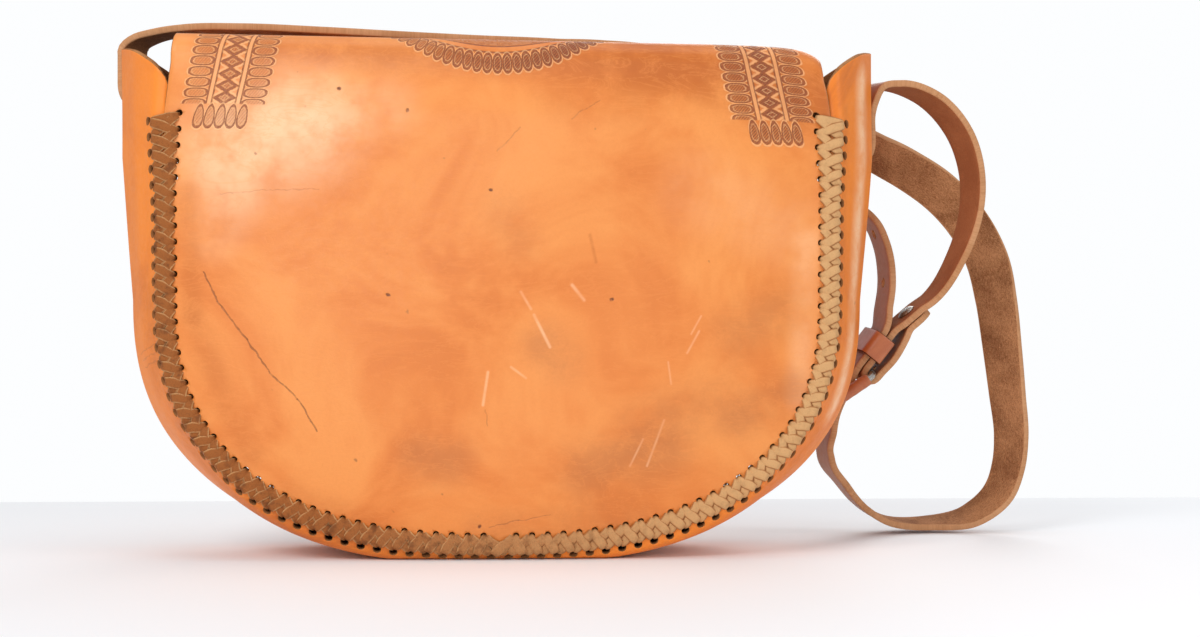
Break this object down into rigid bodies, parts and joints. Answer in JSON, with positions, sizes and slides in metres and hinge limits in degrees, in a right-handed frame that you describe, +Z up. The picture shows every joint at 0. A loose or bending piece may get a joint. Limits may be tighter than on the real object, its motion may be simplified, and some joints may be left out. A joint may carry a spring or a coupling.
{
  "type": "shoulder bag",
  "caption": "Laced leather shoulder bag with a fold-over flap, V-folded gusset ears and a buckled shoulder strap.",
  "frame": {"origin": "centre of the flat base on which the bag stands", "axes": "+Z up, +Y towards the flap's front, -Y towards the plain back, +X towards the buckled side"},
  "size_m": [0.4172, 0.13, 0.2309],
  "materials": {
    "tooled_leather": "vegetable-tanned, waxed, tan orange",
    "gusset_leather": "vegetable-tanned, waxed, tan orange",
    "raw_lace": "raw, matt",
    "strap_leather": "brown, worn, matt flesh side",
    "dark_trim_leather": "polished red brown",
    "nickel_steel": "nickel plated",
    "dull_brass": "dull"
  },
  "bodies": {
    "bag": {"back_panel": "tooled_leather", "front_panel": "tooled_leather", "gusset": "gusset_leather", "back_lace": "raw_lace", "front_lace": "raw_lace", "strap_long": "strap_leather", "strap_short": "strap_leather", "left_ear_rivet_1": "nickel_steel", "left_ear_rivet_2": "nickel_steel", "right_ear_rivet_1": "nickel_steel", "right_ear_rivet_2": "nickel_steel", "buckle_rivet": "nickel_steel", "closure_stud": "dull_brass", "stud_screw": "dull_brass"},
    "flap": {"flap": "tooled_leather"},
    "buckle": {"buckle_frame": "nickel_steel", "buckle_cover": "dark_trim_leather"},
    "prong": {"buckle_prong": "nickel_steel"},
    "keeper": {"strap_keeper": "dark_trim_leather"}
  },
  "joints": [
    {"name": "flap_fold", "type": "hinge", "parent": "bag", "child": "flap", "pos_m": [0, -0.041, 0.20915], "axis": [0.9999, 0, -0.015], "range_deg": [0, 160], "deforming": ["strap_long"]},
    {"name": "buckle_pivot", "type": "hinge", "parent": "bag", "child": "buckle", "pos_m": [0.16821, 0.0349, 0.07742], "axis": [-0.0969, 0.9925, 0.0745], "range_deg": [-12, 6], "deforming": ["strap_long"]},
    {"name": "prong_pivot", "type": "hinge", "parent": "buckle", "child": "prong", "pos_m": [0.16821, 0.0349, 0.07742], "axis": [-0.0969, 0.9925, 0.0745], "range_deg": [0, 13], "deforming": ["strap_long"]},
    {"name": "keeper_slide", "type": "slide", "parent": "bag", "child": "keeper", "axis": [0.6097, 0, 0.7926], "range_m": [-0.001, 0.005], "deforming": ["strap_long"]}
  ]
}
